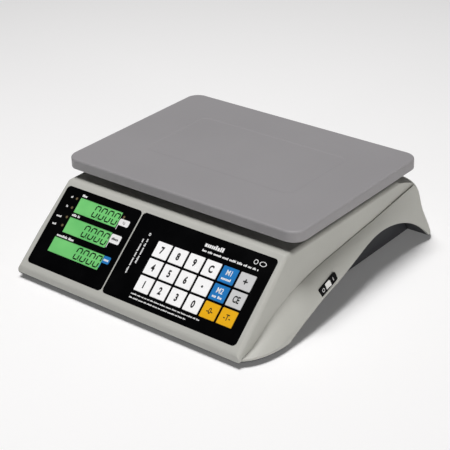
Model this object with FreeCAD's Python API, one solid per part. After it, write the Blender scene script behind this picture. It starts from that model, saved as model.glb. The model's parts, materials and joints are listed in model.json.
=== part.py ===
import FreeCAD, Part
import math
import os

from FreeCAD import Placement, Rotation, Vector

# Price-computing bench scale, in millimetres.
# Origin: on the table under the centre of the scale. +X right, +Y to the rear, +Z up.

# ---- overall size ----
half_width = 176.0          # at the front flares
front_y = -178.2
rear_y = 178.2
housing_bottom_z = 7.0      # lower edge of the grey shell
base_bottom_z = 5.7         # underside of the black tray
deck_z = 88.6
wall = 2.6                  # shell thickness

# ---- front panel ----
panel_angle = 40.8          # from level, in degrees
panel_foot = (-172.5, 20.0)     # (y, z) of the lower edge of the panel sheets
sheet_length = 98.5         # of the panel sheets, up the slope
sheet_half_width = 148.5
sheet_split = -34.7         # x of the rib between display and keypad
rib_half = 0.8
sheet_radius = 5.0
sheet_recess = 0.3          # sheets lie this far below the frame
sheet_thickness = 0.6

# ---- housing sides and rear ----
core_half = 157.4           # half width between the creases above the flares
deck_half = 154.4           # half width at deck level, before its edge is rounded
core_round = 5.0
lean_from_z = 40.0         # the side walls lean in above this height
front_straight_half = 146.0     # half width of the flat front face
front_corner_depth = 56.0       # how far back the front corner's curve reaches
corner_steps = 10
# stations of the flare: y, crease z, middle x, middle z, foot x (foot at foot_z)
foot_z = 4.0
flare_stations = [
    (-185.0, 9.5, 164.0, 8.0, 170.0),
    (-159.0, 13.0, 166.5, 10.8, 174.0),
    (-140.0, 23.5, 169.0, 17.0, 177.5),
    (-119.0, 35.5, 169.0, 25.0, 179.0),
    (-93.0, 44.5, 168.4, 33.5, 180.0),
    (-59.0, 52.5, 167.2, 42.5, 180.0),
    (-23.0, 57.0, 165.8, 48.0, 178.0),
    (13.0, 60.5, 164.4, 52.0, 175.0),
    (51.0, 64.0, 163.2, 54.5, 172.0),
    (91.0, 68.5, 162.0, 55.0, 170.0),
    (141.0, 74.5, 161.2, 52.0, 169.0),
    (201.0, 81.0, 161.0, 52.0, 169.0),
]
# rear envelope: z, rear y, half width at the rear, corner radius
rear_sections = [
    (0.0, 179.6, 168.5, 26.0),
    (7.0, 178.2, 167.5, 26.0),
    (19.0, 174.0, 165.3, 25.0),
    (33.0, 168.6, 162.6, 24.0),
    (48.0, 164.2, 160.6, 23.0),
    (62.0, 160.0, 159.4, 22.0),
    (73.0, 152.5, 158.6, 23.0),
    (81.0, 141.0, 157.5, 26.0),
    (86.0, 128.0, 156.2, 29.0),
    (89.5, 111.0, 154.5, 32.0),
]
rear_taper = 0.08           # the envelope widens this much per mm towards the front

# ---- hand holds ----
hold_wall_x = 139.5
# (y, z) along the arched lower edge, front to rear
arch_points = [
    (-123.0, 5.0), (-90.0, 19.5), (-62.0, 28.5), (-30.0, 35.0), (12.0, 43.9),
    (61.0, 51.0), (95.0, 46.5), (130.0, 31.5), (159.0, 5.0),
]
hold_reach = 60.0           # the hold's space runs this far outwards from its wall
base_wall = 2.4
base_inset = 0.5            # black tray's edge behind the shell's edge
base_fit = 0.4              # gap between shell wall and tray wall
base_wall_top = 16.0        # height of the tray's low wall inside the shell

# ---- screws that hold the shell on the tray ----
screw_places = [(x * side, y) for side in (-1, 1) for x, y in ((147.6, -138.0), (130.0, 6.0), (90.0, 148.0))]
housing_boss_radius = 4.5
housing_boss_z = 8.5
housing_screw_radius = 1.5
housing_screw_head = (3.0, 1.1)     # radius, height
housing_screw_reach = 13.0          # into the boss
screw_fit = 0.1

# ---- switch on the right flare ----
switch_centre = Vector(170.6, -45.2, 38.4)      # of the plate's face
switch_lean = 14.0          # of the surface, in degrees
switch_slope = 14.0         # of the plate along the flare's edge, in degrees
switch_plate_size = (31.8, 9.4, 1.6)
switch_plate_pocket = 1.1
switch_body_size = (22.0, 8.2, 6.6)
rocker_size = (8.0, 7.0, 5.2)
rocker_axis_depth = 3.0
rocker_travel = 14.0
rocker_dish = 14.0          # radius of its hollow face
ledge_span = (-13.0, 7.0, -10.6, -5.0, -9.0, -3.5)     # tray's ledge under the switch, in its directions

# ---- rear read-out ----
rear_face_place = Vector(0, 164.6, 50.0)        # centre of its face
rear_face_lean = 9.0
rear_bezel_size = (166.0, 34.0, 10.0)
rear_sheet_size = (157.0, 27.0, 0.6)
rear_readout_size = (44.0, 17.0, 2.8)
rear_readout_pitch = 50.0
rear_opening_half = (75.0, 11.0)
rear_board_half = (74.0, 10.6)
rear_readout_top = -0.95

# ---- power inlet in the wall of the left hand hold ----
inlet_place = (121.0, 18.0)     # y, z
inlet_size = (14.0, 12.0, 11.0)
inlet_seat_depth = 8.0
inlet_bore_radius = 2.9
inlet_pin_radius = 1.0

# ---- spirit level in the deck ----
level_place = (-104.0, -34.0)
level_radius = 8.0
level_rim = 2.4

# ---- platter and its carrier ----
platter_y = 27.6            # centre
platter_size = (325.0, 228.0)
platter_top_z = 112.0
platter_rim_z = 99.8
platter_wall = 2.2
platter_radius = 16.0
platter_edge_round = 2.4
emboss_x = 105.0
emboss_y = (-20.0, 90.0)
emboss_height = 0.35
emboss_radius = 12.0
carrier_half = (141.0, 93.0)
carrier_z = (92.6, 98.6)
carrier_radius = 22.0
carrier_web = 2.6
carrier_ribs = ((-80.0, 0.0, 80.0), (-40.0, 0.0, 40.0))      # x places, y places
post_place = (118.0, 74.0)      # carrier posts, from the platter's centre
post_radius = 9.0
pad_thickness = 3.0
pad_ring_height = 4.0       # of the platter's rings round the pads

# ---- load cell ----
cell_half = (65.0, 15.0)
cell_z = (40.0, 62.0)
cell_end = 30.0             # length clamped at each end
cell_screw_radius = 3.0
cell_screw_half_pitch = 7.5
cell_head_radius = 5.2
cell_seat_half = 14.0
cell_seat_z = 34.0          # top of the tray's seat, under the spacer
cell_hole_radius = 8.0      # of the two round holes of the thinned part
cell_hole_x = 16.0
cell_slot_half = 2.0
cell_thread_depth = 14.0
column_x = 50.0             # centre of the column on the cell's free end
column_half = 14.0
column_gap = 3.0

# ---- read-outs: x0, x1, s0, s1 with s up the panel's slope ----
readouts = {
    "lcd_weight": (-123.5, -59.5, 71.0, 89.8),
    "lcd_unit_price": (-124.0, -59.2, 45.8, 65.0),
    "lcd_total": (-130.0, -53.8, 20.2, 38.5),
}
lcd_thickness = 2.8
lamp_radius = 1.5
lamp_places = [(-128.2, 86.8), (-128.2, 75.3), (-128.2, 63.2), (-128.2, 52.8), (-55.4, 85.3)]
readout_lap = 1.5           # a read-out reaches this far behind the edges of its window
layer_gap = 0.05            # between the sheet and what lies behind it
display_opening = (-134.0, -50.0, 16.0, 94.0)       # x0, x1, s0, s1 behind the display sheet
keypad_opening = (0.6, 136.2, 14.2, 76.4)
opening_depth = 8.0

# ---- keys ----
key_pitch = (22.4, 20.4)
key_size = (19.6, 17.8)
key_first = (12.4, 65.2)        # centre of the top left key
key_gap = 0.35
key_flange = 0.8
key_top = 0.1               # above the frame's face
key_travel = 0.8
key_rows = [
    ["key_7", "key_8", "key_9", "key_clear", "key_recall", "key_sum"],
    ["key_4", "key_5", "key_6", "key_point", "key_store", "key_reset"],
    ["key_1", "key_2", "key_3", "key_0", "key_zero", "key_tare"],
]

# ---- boards and battery ----
display_board_span = (-141.0, -37.0, 4.0, 97.0)     # x0, x1, s0, s1
keypad_board_span = (-12.0, 142.0, 3.0, 91.0)
display_board_posts = [(-137.6, 9.0), (-41.0, 9.0), (-137.6, 93.0), (-41.0, 93.0)]
keypad_board_posts = [(-8.0, 8.0), (139.0, 8.0), (-8.0, 86.0), (139.0, 86.0)]
display_board_depth = 6.8
keypad_board_depth = 4.2
board_thickness = 1.6
board_post_radius = 3.2
board_hole_radius = 1.1
board_screw_head = (2.2, 1.6)       # radius, height
dome_size = (5.0, 3.2, 0.45)        # lower radius, upper radius, height
main_board_span = (22.0, 116.0, -78.0, -6.0)        # x0, x1, y0, y1
main_board_posts = [(28.0, -72.0), (110.0, -72.0), (28.0, -12.0), (110.0, -12.0)]
main_board_post_radius = 3.5
main_board_z = 20.0
# its parts: x0, x1, y0, y1, height
main_board_chips = [
    (48.0, 62.0, -50.0, -36.0, 2.4), (72.0, 80.0, -48.0, -34.0, 2.0), (84.0, 106.0, -60.0, -52.0, 9.0),
    (30.0, 40.0, -34.0, -24.0, 12.0), (56.0, 84.0, -24.0, -18.0, 6.0), (90.0, 104.0, -34.0, -22.0, 5.0),
]
battery_box = (-118.0, -20.0, -72.0, -2.0, 8.2, 54.0)
battery_lid = 4.0
battery_stops = [(-120.0, -37.0), (-17.8, -37.0)]
battery_stop_half = (1.2, 6.0)
battery_stop_z = 20.0
strap_half = 10.0
strap_thickness = 1.5
strap_fit = 0.2
strap_foot = 12.0

# ---- feet ----
foot_places = {
    "front_left": (-120.0, -145.0),
    "front_right": (120.0, -145.0),
    "rear_left": (-118.0, 145.0),
    "rear_right": (118.0, 145.0),
}
stud_radius = 3.0
stud_top_z = 26.0
stud_fit = 0.05
foot_boss_radius = 7.5
foot_boss_z = 24.0
sole_radius = 12.0
sole_height = 2.6
sole_chamfer = 0.5
sole_pivot_radius = 2.55
pivot_radius = 2.5
wheel_z = (2.8, 5.1)
wheel_radii = (12.0, 11.4)      # over and between its notches
wheel_notches = 24

beyond = 200.0              # past every edge of the scale
cosp = math.cos(math.radians(panel_angle))
sinp = math.sin(math.radians(panel_angle))


# ---------- helpers ----------

def box(x0, x1, y0, y1, z0, z1):
    return Part.makeBox(x1 - x0, y1 - y0, z1 - z0, Vector(x0, y0, z0))


def slab(z0, z1):
    """A layer wider than the scale."""
    return box(-beyond, beyond, -beyond, beyond, z0, z1)


def rounded_box(x0, x1, y0, y1, z0, z1, radius):
    """A box whose upright edges are rounded."""
    body = box(x0, x1, y0, y1, z0, z1)
    upright = [e for e in body.Edges if abs(e.tangentAt(e.FirstParameter).z) > 0.9]
    return body.makeFillet(radius, upright)


def rod(x, y, z0, z1, radius):
    return Part.makeCylinder(radius, z1 - z0, Vector(x, y, z0))


def fuse_all(shapes):
    body = shapes[0]
    for other in shapes[1:]:
        body = body.fuse(other)
    return body.removeSplitter()


def panel_placement():
    """Local X is across, local Y up the slope, local Z out of the panel."""
    return Placement(Vector(0, panel_foot[0], panel_foot[1]), Rotation(Vector(1, 0, 0), panel_angle))


def on_panel(shape):
    placed = shape.copy()
    placed.Placement = panel_placement().multiply(placed.Placement)
    return placed


def mirrored(shape):
    return shape.mirror(Vector(0, 0, 0), Vector(1, 0, 0))


def save(name, shape):
    solids = shape.Solids
    made = solids[0] if len(solids) == 1 else Part.makeCompound(solids)
    made.exportStep("parts/" + name + ".step")
    print(name, len(solids), "solids", round(made.Volume), "mm3", "valid", made.isValid())


# ---------- outer form of the housing ----------

def panel_offset_point(inset, z=None, y=None):
    """A point (y, z) on the panel's plane moved inwards by inset."""
    base_y = panel_foot[0] + inset * sinp
    base_z = panel_foot[1] - inset * cosp
    if z is not None:
        return (base_y + (z - base_z) * cosp / sinp, z)
    return (y, base_z + (y - base_y) * sinp / cosp)


def core_prism(inset, bottom):
    """Front face, panel and deck, drawn straight through the full width, with leaning sides."""
    lip = panel_offset_point(inset, y=front_y + inset)
    ridge = panel_offset_point(inset, z=deck_z - inset)
    back = rear_y + 40
    outline = [(front_y + inset, bottom), lip, ridge, (back, deck_z - inset), (back, bottom)]
    points = [Vector(-core_half, y, z) for y, z in outline]
    block = Part.Face(Part.makePolygon(points + points[:1])).extrude(Vector(2 * core_half, 0, 0))
    side = [(core_half - inset, bottom), (core_half - inset, lean_from_z), (deck_half - inset, deck_z)]
    right = [Vector(x, front_y - 5, z) for x, z in side]
    rim = right + [Vector(-p.x, p.y, p.z) for p in reversed(right)]
    sides = Part.Face(Part.makePolygon(rim + rim[:1])).extrude(Vector(0, back - front_y + 10, 0))
    prism = block.common(sides)
    if inset > 0:
        return prism
    on_top = [e for e in prism.Edges if min(v.Z for v in e.Vertexes) > lip[1] - 0.01]
    lengthwise = [e for e in on_top if abs(e.CenterOfMass.x) > deck_half - 5 and e.CenterOfMass.y < back - 1]
    across = [e for e in on_top if abs(e.CenterOfMass.x) < 1 and e.CenterOfMass.y < ridge[0] + 1]
    return prism.makeFillet(core_round, lengthwise + across)


def flare(inset):
    """The swept wing on the right side, from the crease down past the lower edge."""
    root_x = core_half - 12
    sections = []
    for y, crease_z, mid_x, mid_z, foot_x in flare_stations:
        top = Vector(core_half - inset, y, crease_z - inset)
        middle = Vector(mid_x - inset, y, mid_z - inset * 0.5)
        foot = Vector(foot_x - inset, y, foot_z - inset)
        low = Vector(root_x, y, foot_z - inset)
        high = Vector(root_x, y, crease_z - inset)
        curve = Part.BSplineCurve()
        curve.interpolate([top, middle, foot])
        corners = [Part.makeLine(foot, low), Part.makeLine(low, high)]
        sections.append(Part.Wire([Part.makeLine(high, top), curve.toShape()] + corners))
    return Part.makeLoft(sections, True, False)


def rear_section(z, back, half, radius, inset):
    """Plan outline at one height: tapered sides, rounded rear corners."""
    back = back - inset
    half = half - inset
    radius = radius - inset
    far = -400.0
    side_rise = half + (back - far) * rear_taper
    corner = (half, back)
    slant = Vector(half - side_rise, back - far, 0)
    slant.normalize()
    turn = math.acos(slant.dot(Vector(-1, 0, 0)))
    tangent = radius * math.tan(turn / 2)
    start = Vector(corner[0] - slant.x * tangent, corner[1] - slant.y * tangent, z)
    end = Vector(corner[0] - tangent, corner[1], z)
    centre = Vector(end.x, end.y - radius, z)
    middle_way = (Vector(corner[0], corner[1], z) - centre)
    middle_way.normalize()
    middle = centre + middle_way * radius
    front_right = Vector(side_rise, far, z)
    edges = [Part.makeLine(front_right, start), Part.Arc(start, middle, end).toShape()]
    left = [Vector(-p.x, p.y, p.z) for p in (end, middle, start, front_right)]
    edges.append(Part.makeLine(end, left[0]))
    edges.append(Part.Arc(left[0], left[1], left[2]).toShape())
    edges.append(Part.makeLine(left[2], left[3]))
    edges.append(Part.makeLine(left[3], front_right))
    return Part.Wire(edges)


def rear_envelope(inset):
    sections = [rear_section(z, back, half, radius, inset) for z, back, half, radius in rear_sections]
    return Part.makeLoft(sections, True, False)


def plan_prism(inset, z0, z1):
    """Front corners as quarter ellipses, then straight back beyond the rear."""
    across = half_width - front_straight_half - inset
    along = front_corner_depth - inset
    right = []
    for i in range(corner_steps + 1):
        angle = math.pi / 2 * i / corner_steps
        x = front_straight_half + across * math.sin(angle)
        y = front_y + front_corner_depth - along * math.cos(angle)
        right.append(Vector(x, y, z0))
    left = [Vector(-p.x, p.y, p.z) for p in reversed(right)]
    curves = []
    for points in (right, left):
        curve = Part.BSplineCurve()
        curve.interpolate(points)
        curves.append(curve.toShape())
    far_right = Vector(right[-1].x, beyond + 40, z0)
    far_left = Vector(left[0].x, beyond + 40, z0)
    edges = [
        curves[0], Part.makeLine(right[-1], far_right), Part.makeLine(far_right, far_left),
        Part.makeLine(far_left, left[0]), curves[1], Part.makeLine(left[-1], right[0]),
    ]
    return Part.Face(Part.Wire(edges)).extrude(Vector(0, 0, z1 - z0))


def outer_form(inset, bottom):
    envelope = rear_envelope(inset)
    outline = plan_prism(inset, bottom, deck_z + 5)
    core = core_prism(inset, bottom).common(envelope).common(outline)
    wing = flare(inset).common(envelope).common(outline)
    return core.fuse(wing).fuse(mirrored(wing))


# ---------- housing ----------

def hold_cutter(grow):
    """Space of the right hand hold: an arched tunnel outwards from the tray's side wall."""
    first, last = arch_points[0], arch_points[-1]
    middle = (first[0] + last[0]) / 2
    points = []
    for y, z in arch_points:
        share = (y - middle) / (last[0] - middle)
        points.append(Vector(hold_wall_x - grow, y + grow * share, z + grow * (1 - abs(share)) ** 0.25))
    curve = Part.BSplineCurve()
    curve.interpolate(points)
    floor_z = -5.0
    a, b = points[0], points[-1]
    low_a, low_b = Vector(a.x, a.y, floor_z), Vector(b.x, b.y, floor_z)
    edges = [curve.toShape(), Part.makeLine(b, low_b), Part.makeLine(low_b, low_a), Part.makeLine(low_a, a)]
    return Part.Face(Part.Wire(edges)).extrude(Vector(hold_reach, 0, 0))


def frame_from(centre, x_axis, z_axis):
    y_axis = z_axis.cross(x_axis)
    return Placement(centre, Rotation(x_axis, y_axis, z_axis, "ZXY"))


def at_switch(shape):
    """Local X runs rearwards along the flare's edge, local Z out of the flare."""
    lean, slope = math.radians(switch_lean), math.radians(switch_slope)
    z_axis = Vector(math.cos(lean), 0, math.sin(lean))
    up = Vector(-math.sin(lean), 0, math.cos(lean))
    x_axis = Vector(0, 1, 0) * math.cos(slope) + up * math.sin(slope)
    placed = shape.copy()
    placed.Placement = frame_from(switch_centre, x_axis, z_axis).multiply(placed.Placement)
    return placed


def at_rear(shape):
    """Local X runs to the left seen from the front, local Z out of the rear face."""
    lean = math.radians(rear_face_lean)
    placed = shape.copy()
    placed.Placement = frame_from(
        rear_face_place, Vector(-1, 0, 0), Vector(0, math.cos(lean), math.sin(lean))
    ).multiply(placed.Placement)
    return placed


def centred(size, z0, z1, radius, grow=0.0):
    """A plate centred on local X and Y."""
    half_x, half_y = size[0] / 2 + grow, size[1] / 2 + grow
    return rounded_box(-half_x, half_x, -half_y, half_y, z0, z1, radius)


def sheet_sides():
    """x range of the display sheet and of the keypad sheet."""
    return {
        "display_window": (-sheet_half_width, sheet_split - rib_half),
        "keypad_overlay": (sheet_split + rib_half, sheet_half_width),
    }


def key_centres():
    for row, names in enumerate(key_rows):
        for column, name in enumerate(names):
            yield name, key_first[0] + column * key_pitch[0], key_first[1] - row * key_pitch[1]


def panel_cuts():
    """Pockets for the two sheets and the openings behind them."""
    cuts = []
    pocket_floor = -sheet_recess - sheet_thickness
    for x0, x1 in sheet_sides().values():
        pocket = rounded_box(x0 - 0.1, x1 + 0.1, -0.1, sheet_length + 0.1, pocket_floor, 3, sheet_radius)
        cuts.append(pocket)
    for x0, x1, s0, s1 in (display_opening, keypad_opening):
        cuts.append(box(x0, x1, s0, s1, -opening_depth, pocket_floor + 0.1))
    return [on_panel(cut) for cut in cuts]


def panel_boards():
    """Fixing points and depth of the two boards behind the panel."""
    return [(display_board_posts, display_board_depth), (keypad_board_posts, keypad_board_depth)]


def panel_posts():
    posts = []
    for places, depth in panel_boards():
        for x, s in places:
            post = rod(x, s, -depth, -wall + 0.4, board_post_radius)
            posts.append(on_panel(post.cut(rod(x, s, -depth, -wall - 0.2, board_hole_radius))))
    return posts


def upper_housing(outer, inner):
    body = outer.cut(inner)
    bezel = at_rear(centred(rear_bezel_size, -rear_bezel_size[2], 0, 6))
    body = body.fuse(bezel)
    for x, y in screw_places:
        post = rod(x, y, housing_boss_z, deck_z - 1, housing_boss_radius).common(outer)
        hole_top = housing_boss_z + housing_screw_reach + 1
        body = body.fuse(post.cut(rod(x, y, 0, hole_top, housing_screw_radius + screw_fit)))
    for post in panel_posts():
        body = body.fuse(post)
    holds = hold_cutter(0)
    sx, sy = switch_body_size[0] / 2 + 0.2, switch_body_size[1] / 2 + 0.2
    level_hole = rod(level_place[0], level_place[1], deck_z - 9, deck_z + 1, level_radius + level_rim + 0.1)
    room = column_half + column_gap
    rx, ry = rear_opening_half
    cuts = [
        holds, mirrored(holds),
        at_rear(centred(rear_sheet_size, -0.9, 1, 3, 0.1)),
        at_rear(box(-rx, rx, -ry, ry, -30, 0)),
        at_switch(centred(switch_plate_size, -switch_plate_pocket, 5, 2, 0.1)),
        at_switch(box(-sx, sx, -sy, sy, -14, 0)),
        level_hole,
        rounded_box(column_x - room, column_x + room, platter_y - room, platter_y + room,
                    deck_z - 9, deck_z + 1, 4),
    ] + panel_cuts()
    for cut in cuts:
        body = body.cut(cut)
    return body


def lower_base(rim, lining, core):
    """Black tray: rim plate under the shell, floor, low wall, hand hold walls and bosses."""
    floor_top = base_bottom_z + base_wall
    body = rim.common(slab(base_bottom_z, housing_bottom_z - 0.1))
    body = body.fuse(lining.common(slab(base_bottom_z, floor_top)))
    body = body.fuse(lining.cut(core).common(slab(floor_top - 0.1, base_wall_top)))
    open_hold = hold_cutter(0)
    shroud = hold_cutter(base_wall).cut(open_hold).common(lining).common(slab(base_bottom_z, deck_z))
    body = body.fuse(shroud).fuse(mirrored(shroud))
    seat = cell_seat_half
    cell_x0 = -cell_half[0]
    body = body.fuse(box(cell_x0, cell_x0 + cell_end, platter_y - seat, platter_y + seat,
                         floor_top - 0.1, cell_seat_z))
    for x, y in foot_places.values():
        body = body.fuse(rod(x, y, base_bottom_z, foot_boss_z, foot_boss_radius))
    for x, y in screw_places:
        body = body.cut(rod(x, y, 0, floor_top + 1, housing_screw_radius + screw_fit))
        body = body.cut(rod(x, y, 0, base_bottom_z + 1.2, housing_screw_head[0] + 0.2))
    stop_x, stop_y = battery_stop_half
    for x, y in battery_stops:
        body = body.fuse(box(x - stop_x, x + stop_x, y - stop_y, y + stop_y, floor_top - 0.1, battery_stop_z))
    for x, y in main_board_posts:
        post = rod(x, y, floor_top - 0.1, main_board_z, main_board_post_radius)
        body = body.fuse(post.cut(rod(x, y, floor_top + 2, main_board_z + 1, board_hole_radius)))
    cuts = [open_hold, mirrored(open_hold)]
    cuts += [rod(x, y, 0, 40, stud_radius + stud_fit) for x, y in foot_places.values()]
    cuts += [rod(x, platter_y, 0, 60, cell_screw_radius) for x in cell_screw_x(-1)]
    cuts += [rod(x, platter_y, 0, 12, cell_head_radius + 0.4) for x in cell_screw_x(-1)]
    cuts += [inlet_seat(), switch_room()]
    for cut in cuts:
        body = body.cut(cut)
    return body.fuse(at_switch(box(*ledge_span)))


def inlet_seat():
    half_y = inlet_size[0] / 2 + 0.1
    half_z = inlet_size[1] / 2 + 0.1
    y, z = inlet_place
    x0, x1 = -hold_wall_x - 1, -hold_wall_x + inlet_seat_depth
    return box(x0, x1, y - half_y, y + half_y, z - half_z, z + half_z)


def switch_room():
    """Space for the switch's body in the roof of the hand hold."""
    half_x = switch_body_size[0] / 2 + 0.3
    half_y = switch_body_size[1] / 2 + 0.3
    return at_switch(box(-half_x, half_x, -half_y, half_y, -switch_body_size[2] - 2, 6))


def cell_screw_x(end):
    middle = end * (cell_half[0] - cell_end / 2)
    return (middle - cell_screw_half_pitch, middle + cell_screw_half_pitch)


# ---------- weighing parts ----------

def platter():
    half_x, half_y = platter_size[0] / 2, platter_size[1] / 2
    y0, y1 = platter_y - half_y, platter_y + half_y
    tray = rounded_box(-half_x, half_x, y0, y1, platter_rim_z, platter_top_z, platter_radius)
    top_edges = [e for e in tray.Edges if min(v.Z for v in e.Vertexes) > platter_top_z - 0.01]
    tray = tray.makeFillet(platter_edge_round, top_edges)
    w = platter_wall
    under_z = platter_top_z - w
    tray = tray.cut(rounded_box(-half_x + w, half_x - w, y0 + w, y1 - w, platter_rim_z - 1, under_z,
                                platter_radius - w))
    tray = tray.cut(rounded_box(-emboss_x, emboss_x, emboss_y[0], emboss_y[1],
                                platter_top_z - emboss_height, platter_top_z + 1, emboss_radius))
    for x, y in post_places():
        ring = rod(x, y, under_z - pad_ring_height, under_z, post_radius + 2.4)
        tray = tray.fuse(ring.cut(rod(x, y, under_z - pad_ring_height - 1, under_z, post_radius + 0.6)))
    return tray.removeSplitter()


def post_places():
    return [(sx * post_place[0], platter_y + sy * post_place[1]) for sx in (-1, 1) for sy in (-1, 1)]


def pad_top():
    return platter_top_z - platter_wall - 0.1


def platter_support():
    """Ribbed carrier plate with four posts that the pads sit in."""
    half_x, half_y = carrier_half
    z0, z1 = carrier_z
    y0, y1 = platter_y - half_y, platter_y + half_y
    web = carrier_web
    body = rounded_box(-half_x, half_x, y0, y1, z0, z1, carrier_radius)
    body = body.cut(rounded_box(-half_x + web, half_x - web, y0 + web, y1 - web, z0 - 1, z1 - web,
                                carrier_radius - web))
    ribs = [box(-half_x + 1, half_x - 1, platter_y + s - web / 2, platter_y + s + web / 2, z0, z1 - 1)
            for s in carrier_ribs[1]]
    ribs += [box(s - web / 2, s + web / 2, y0 + 1, y1 - 1, z0, z1 - 1) for s in carrier_ribs[0]]
    seat = column_half + 6
    x0, x1 = column_x - seat, column_x + seat
    column_seat = rounded_box(x0, x1, platter_y - seat, platter_y + seat, z0, z1 - 1, 4)
    posts = [rod(x, y, z1 - 0.1, pad_top() - pad_thickness + 1.2, post_radius) for x, y in post_places()]
    body = fuse_all([body] + ribs + [column_seat] + posts)
    for x, y in post_places():
        body = body.cut(rod(x, y, pad_top() - pad_thickness, pad_top(), post_radius - 1.9))
    for x in cell_screw_x(1):
        body = body.cut(rod(x, platter_y, z0 - 1, z1 + 1, cell_screw_radius))
        body = body.cut(rod(x, platter_y, z1 - 3.4, z1 + 1, cell_head_radius + 0.4))
    return body


def platter_pads():
    pads = [rod(x, y, pad_top() - pad_thickness, pad_top(), post_radius - 2) for x, y in post_places()]
    return Part.makeCompound(pads)


def load_column():
    half = column_half
    column = rounded_box(column_x - half, column_x + half, platter_y - half, platter_y + half,
                         cell_z[1], carrier_z[0], 3)
    for x in cell_screw_x(1):
        column = column.cut(rod(x, platter_y, cell_z[1] - 1, carrier_z[0] + 1, cell_screw_radius))
    return column


def load_cell():
    """Bar with the binocular cut-out that lets it bend."""
    x, y = cell_half
    z0, z1 = cell_z
    bar = box(-x, x, platter_y - y, platter_y + y, z0, z1)
    middle = (z0 + z1) / 2
    across = Vector(0, 1, 0)
    for side in (-1, 1):
        start = Vector(side * cell_hole_x, platter_y - y - 1, middle)
        bar = bar.cut(Part.makeCylinder(cell_hole_radius, 2 * y + 2, start, across))
    bar = bar.cut(box(-cell_hole_x, cell_hole_x, platter_y - y - 1, platter_y + y + 1,
                      middle - cell_slot_half, middle + cell_slot_half))
    for x in cell_screw_x(-1):
        bar = bar.cut(rod(x, platter_y, z0 - 1, z0 + cell_thread_depth, cell_screw_radius))
    for x in cell_screw_x(1):
        bar = bar.cut(rod(x, platter_y, z1 - cell_thread_depth, z1 + 1, cell_screw_radius))
    return bar


def load_cell_spacer():
    x0 = -cell_half[0]
    seat = cell_seat_half
    plate = box(x0, x0 + cell_end, platter_y - seat, platter_y + seat, cell_seat_z, cell_z[0])
    for x in cell_screw_x(-1):
        plate = plate.cut(rod(x, platter_y, cell_seat_z - 1, cell_z[0] + 1, cell_screw_radius))
    return plate


def hex_socket_screw(x, y, head_z, tip_z, head_height):
    """A cap screw whose head lies at head_z and whose shank ends at tip_z."""
    up = 1 if tip_z > head_z else -1
    low, high = sorted((head_z, head_z + up * head_height))
    head = rod(x, y, low, high, cell_head_radius)
    reach = cell_head_radius * 0.5
    corners = []
    for i in range(7):
        angle = math.radians(60 * i)
        corners.append(Vector(x + reach * math.cos(angle), y + reach * math.sin(angle), head_z))
    socket = Part.Face(Part.makePolygon(corners)).extrude(Vector(0, 0, up * head_height * 0.6))
    low, high = sorted((head_z + up * head_height, tip_z))
    return head.cut(socket).fuse(rod(x, y, low, high, cell_screw_radius))


def cell_base_screws():
    return Part.makeCompound([
        hex_socket_screw(x, platter_y, base_bottom_z + 1.3, cell_z[0] + 12, 5.0) for x in cell_screw_x(-1)])


def cell_top_screws():
    """They end at the cell's upper face, because the cell bends and they don't."""
    return Part.makeCompound([
        hex_socket_screw(x, platter_y, carrier_z[1] - 0.4, cell_z[1] + 0.2, 3.0) for x in cell_screw_x(1)])


# ---------- electronics ----------

def sheet(name):
    """Printed sheet with its windows or key holes cut out."""
    x0, x1 = sheet_sides()[name]
    top = -sheet_recess
    body = rounded_box(x0, x1, 0, sheet_length, top - sheet_thickness, top, sheet_radius)
    if name == "display_window":
        for a, b, s0, s1 in readouts.values():
            body = body.cut(box(a, b, s0, s1, -5, 5))
        for x, s in lamp_places:
            body = body.cut(rod(x, s, -5, 5, lamp_radius + 0.1))
    else:
        for _, x, s in key_centres():
            half_x, half_s = key_size[0] / 2 + key_gap, key_size[1] / 2 + key_gap
            body = body.cut(rounded_box(x - half_x, x + half_x, s - half_s, s + half_s, -5, 5, 1.2))
    return on_panel(body)


def key_cap(x, s):
    """Cap with a flange that keeps it under the sheet."""
    half_x, half_s = key_size[0] / 2, key_size[1] / 2
    cap = rounded_box(x - half_x, x + half_x, s - half_s, s + half_s, -2.4, key_top, 0.9)
    top_edges = [e for e in cap.Edges if min(v.Z for v in e.Vertexes) > key_top - 0.01]
    cap = cap.makeFillet(0.35, top_edges)
    f = key_flange
    flange = box(x - half_x - f, x + half_x + f, s - half_s - f, s + half_s + f, -2.6, -1.3)
    return on_panel(cap.fuse(flange).removeSplitter())


def key_domes():
    low_radius, high_radius, height = dome_size
    domes = []
    for _, x, s in key_centres():
        dome = Part.makeCone(low_radius, high_radius, height, Vector(x, s, -keypad_board_depth))
        domes.append(on_panel(dome))
    return Part.makeCompound(domes)


def readout_top():
    return -sheet_recess - sheet_thickness - layer_gap


def readout(name):
    a, b, s0, s1 = readouts[name]
    lap = readout_lap
    return on_panel(box(a - lap, b + lap, s0 - lap, s1 + lap, readout_top() - lcd_thickness, readout_top()))


def lcd_backlights():
    lights = []
    for a, b, s0, s1 in readouts.values():
        top = readout_top() - lcd_thickness
        lights.append(on_panel(box(a - 1, b + 1, s0 - 1, s1 + 1, -display_board_depth, top)))
    return Part.makeCompound(lights)


def indicator_lamps():
    lamps = [on_panel(rod(x, s, -display_board_depth, -sheet_recess, lamp_radius)) for x, s in lamp_places]
    return Part.makeCompound(lamps)


def panel_board(span, depth, posts):
    x0, x1, s0, s1 = span
    board = box(x0, x1, s0, s1, -depth - board_thickness, -depth)
    for x, s in posts:
        board = board.cut(rod(x, s, -20, 0, board_hole_radius))
    return on_panel(board)


def main_board():
    x0, x1, y0, y1 = main_board_span
    z = main_board_z
    top = z + board_thickness
    chips = [box(a, b, c, d, top - 0.1, top + height) for a, b, c, d, height in main_board_chips]
    body = fuse_all([box(x0, x1, y0, y1, z, top)] + chips)
    for x, y in main_board_posts:
        body = body.cut(rod(x, y, z - 1, z + 5, board_hole_radius))
    return body


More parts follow.
